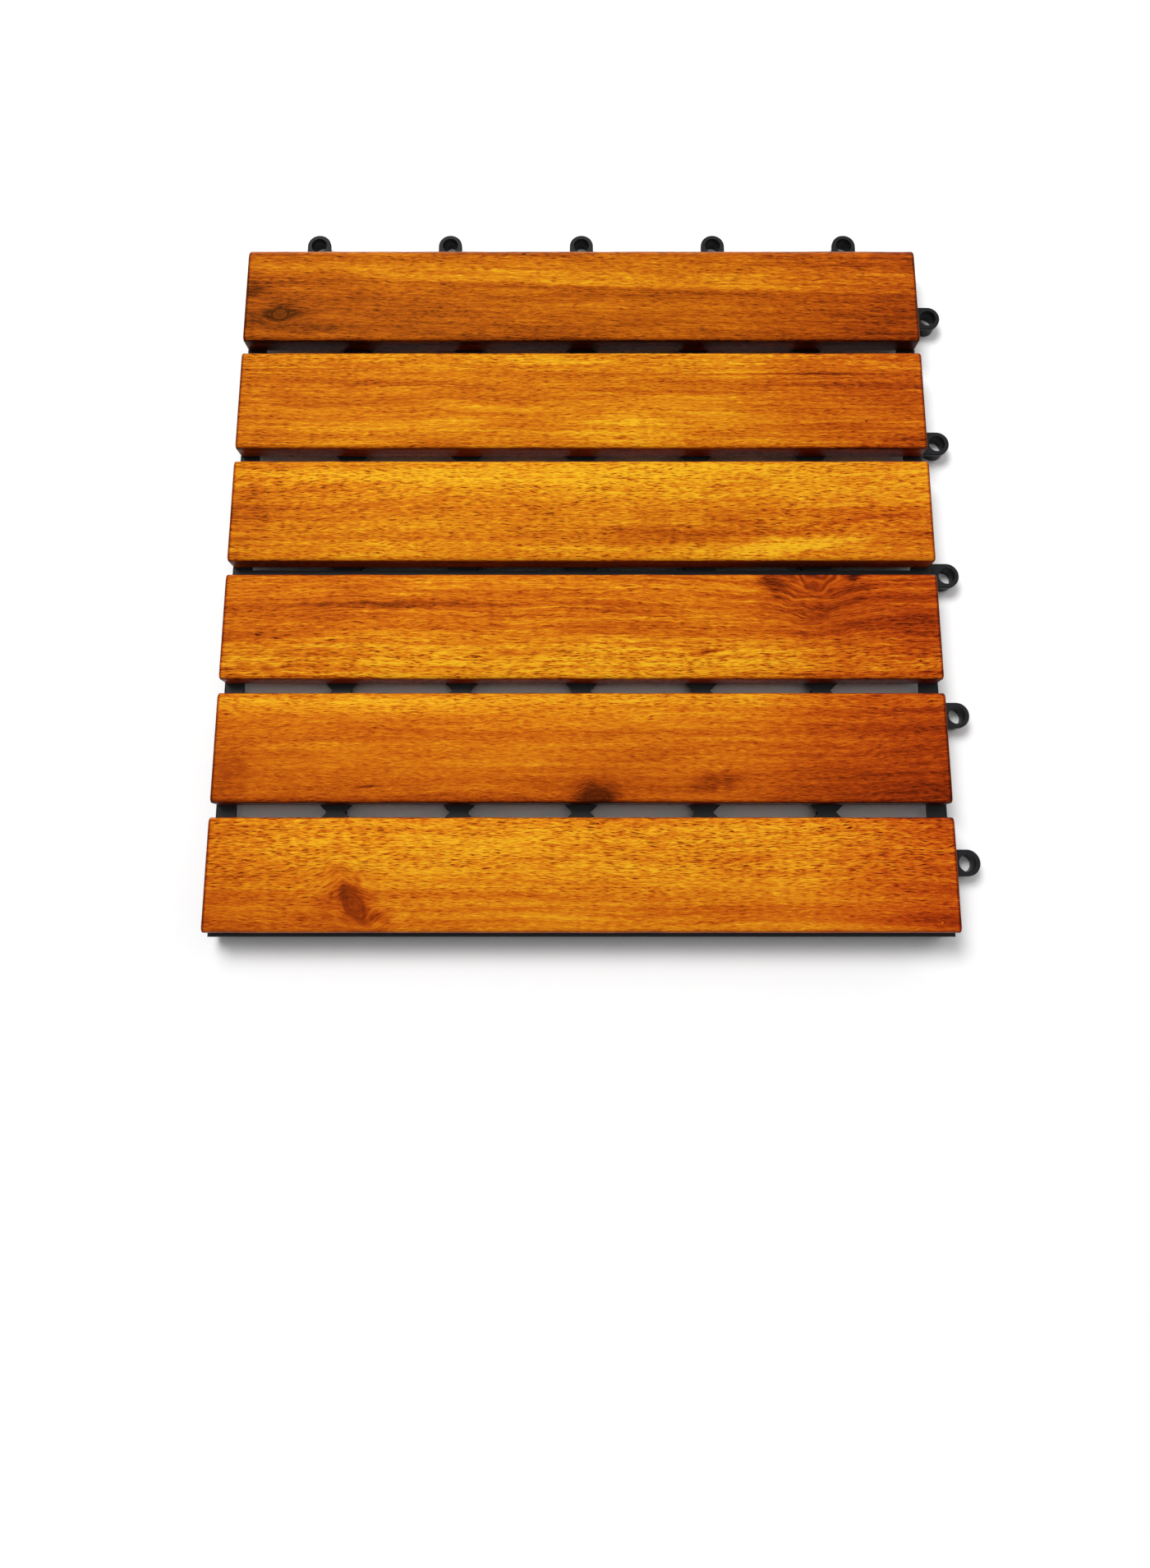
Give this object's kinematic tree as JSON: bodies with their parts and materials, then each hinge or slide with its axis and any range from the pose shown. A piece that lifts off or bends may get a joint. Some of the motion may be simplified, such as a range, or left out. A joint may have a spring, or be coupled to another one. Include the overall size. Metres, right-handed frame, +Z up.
{
  "type": "interlocking deck tile",
  "caption": "Square interlocking deck tile: oiled wood slats, evenly spaced, screwed to a black moulded plastic grid with locking eyes along adjacent sides and pegs along the others.",
  "frame": {"origin": "on the floor plane under the centre of the square grid, on the middle foot", "axes": "+Z up, out of the slats' tops; +X along the slats, towards the side whose eyes stand past the slats' ends; +Y across the slats, towards the side whose eyes stand past the last slat"},
  "size_m": [0.3128, 0.3128, 0.024],
  "materials": {
    "slat_wood": "oiled, satin",
    "grid_plastic": "fine-textured satin black",
    "screw_steel": "zinc plated"
  },
  "bodies": {
    "root": {"moulded_grid": "grid_plastic", "slat_1": "slat_wood", "slat_2": "slat_wood", "slat_3": "slat_wood", "slat_4": "slat_wood", "slat_5": "slat_wood", "slat_6": "slat_wood", "fixing_screws": "screw_steel"}
  },
  "joints": []
}
